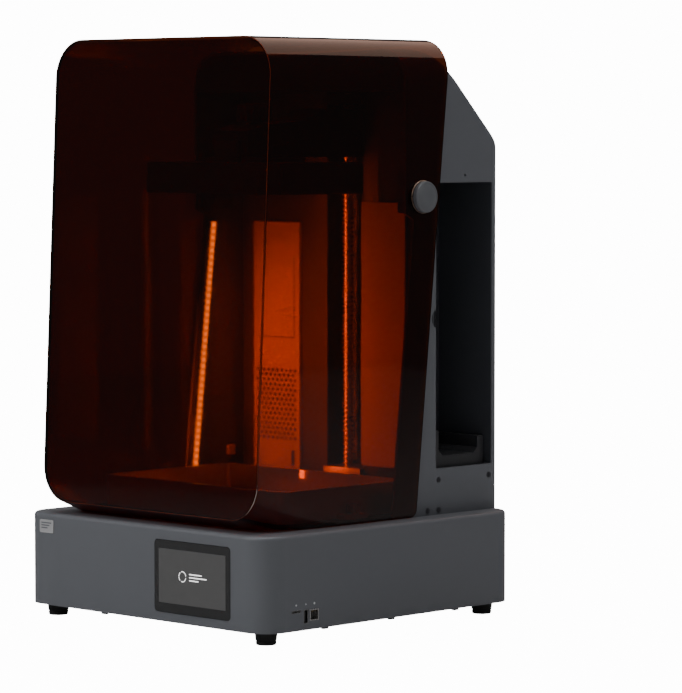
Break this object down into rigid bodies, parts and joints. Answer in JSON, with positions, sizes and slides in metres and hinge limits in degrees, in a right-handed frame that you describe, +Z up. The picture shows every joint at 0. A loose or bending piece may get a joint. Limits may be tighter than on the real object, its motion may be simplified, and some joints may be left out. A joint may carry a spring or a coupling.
{
  "type": "resin 3d printer",
  "caption": "Desktop resin printer with a pivoting amber hood, resin vat, Z screw with raised build plate, touchscreen base and a rear column with a bottle bay.",
  "frame": {"origin": "under the centre of the base, at the bottom of the feet", "axes": "+Z up, front towards -Y, +X to the right of someone facing the front"},
  "size_m": [0.371, 0.377, 0.6143],
  "materials": {
    "case_grey": "satin",
    "dark_metal": "satin",
    "black_plastic": "matt",
    "rubber_black": "matt",
    "screen_glass": "gloss",
    "badge_light": "gloss",
    "steel": "satin",
    "screw_steel": "satin",
    "aluminium": "satin",
    "circuit": "satin",
    "mask_glass": "gloss",
    "film": "gloss",
    "hood_amber": "gloss",
    "clear_amber": "gloss",
    "cap_grey": "satin",
    "bead_yellow": "gloss",
    "panel_grey": "satin",
    "carbon": "matt",
    "brass": "satin"
  },
  "bodies": {
    "base": {"base_housing": "case_grey", "base_plate": "dark_metal", "rubber_feet": "rubber_black", "base_screws": "screw_steel", "touchscreen_glass": "screen_glass", "display_module": "black_plastic", "badge_plate": "badge_light", "card_reader": "steel", "usb_port": "steel", "ethernet_port": "steel", "port_board": "circuit", "power_inlet": "black_plastic", "switch_body": "black_plastic", "cooling_fan_frame": "black_plastic", "light_box": "aluminium", "uv_led_board": "circuit", "heat_sink": "aluminium", "mainboard": "circuit", "power_supply": "steel", "top_deck": "dark_metal", "mask_screen": "mask_glass", "column_shell": "case_grey", "column_screws": "screw_steel", "bay_liner": "black_plastic", "bay_cradle": "black_plastic", "back_wall": "panel_grey", "bay_front_panel": "panel_grey", "head_cover": "black_plastic", "filter_cover": "panel_grey", "filter_cartridge": "carbon", "light_bar": "aluminium", "light_bar_beads": "bead_yellow", "rear_cover": "case_grey", "z_frame": "dark_metal", "linear_rails": "steel", "stepper_motor": "dark_metal", "lower_bearing_block": "aluminium", "upper_bearing_block": "aluminium", "hinge_brackets": "steel"},
    "hood": {"hood_shell": "hood_amber", "hood_bushes": "clear_amber", "pivot_caps": "cap_grey"},
    "screw": {"ball_screw": "steel", "shaft_coupling": "aluminium", "motor_shaft": "steel"},
    "arm": {"rail_carriages": "steel", "arm_plate": "aluminium", "ball_nut": "steel", "nut_block": "aluminium", "z_arm": "dark_metal"},
    "clamp": {"clamp_knob": "black_plastic"},
    "platform": {"build_platform": "aluminium", "platform_block": "dark_metal"},
    "vat": {"vat_frame": "aluminium", "release_film": "film", "film_ring": "steel"},
    "vat_knob_left": {"vat_knob_left": "black_plastic"},
    "vat_knob_right": {"vat_knob_right": "black_plastic"},
    "rocker": {"power_rocker": "black_plastic"},
    "fan": {"cooling_fan_impeller": "black_plastic"}
  },
  "joints": [
    {"name": "hood_pivot", "type": "hinge", "parent": "base", "child": "hood", "pos_m": [0, 0.0643, 0.449], "axis": [1, 0, 0], "range_deg": [-92, 0]},
    {"name": "z_slide", "type": "slide", "parent": "base", "child": "arm", "axis": [0, 0, 1], "range_m": [-0.334, 0]},
    {"name": "ball_screw_spin", "type": "hinge", "parent": "base", "child": "screw", "pos_m": [0, 0.118, 0.3], "axis": [0, 0, 1], "range_deg": [0, 24060]},
    {"name": "clamp_knob_turn", "type": "hinge", "parent": "arm", "child": "clamp", "pos_m": [0, -0.023, 0.54], "axis": [0, 0, 1], "range_deg": [0, 360]},
    {"name": "platform_slide", "type": "slide", "parent": "arm", "child": "platform", "axis": [0, -1, 0], "range_m": [0, 0.05]},
    {"name": "vat_lift", "type": "slide", "parent": "base", "child": "vat", "axis": [0, 0, 1], "range_m": [0, 0.12]},
    {"name": "vat_knob_left_turn", "type": "hinge", "parent": "vat", "child": "vat_knob_left", "pos_m": [-0.1455, -0.023, 0.126], "axis": [0, 0, 1], "range_deg": [0, 720]},
    {"name": "vat_knob_right_turn", "type": "hinge", "parent": "vat", "child": "vat_knob_right", "pos_m": [0.1455, -0.023, 0.126], "axis": [0, 0, 1], "range_deg": [0, 720]},
    {"name": "rocker_turn", "type": "hinge", "parent": "base", "child": "rocker", "pos_m": [0.078, 0.182, 0.074], "axis": [1, 0, 0], "range_deg": [0, 16]},
    {"name": "fan_spin", "type": "hinge", "parent": "base", "child": "fan", "pos_m": [-0.09, 0.172, 0.062], "axis": [0, 1, 0], "continuous": true}
  ],
  "couplings": [
    {"joint": "ball_screw_spin", "follows": "z_slide", "rad_per_m": -1256.6}
  ]
}
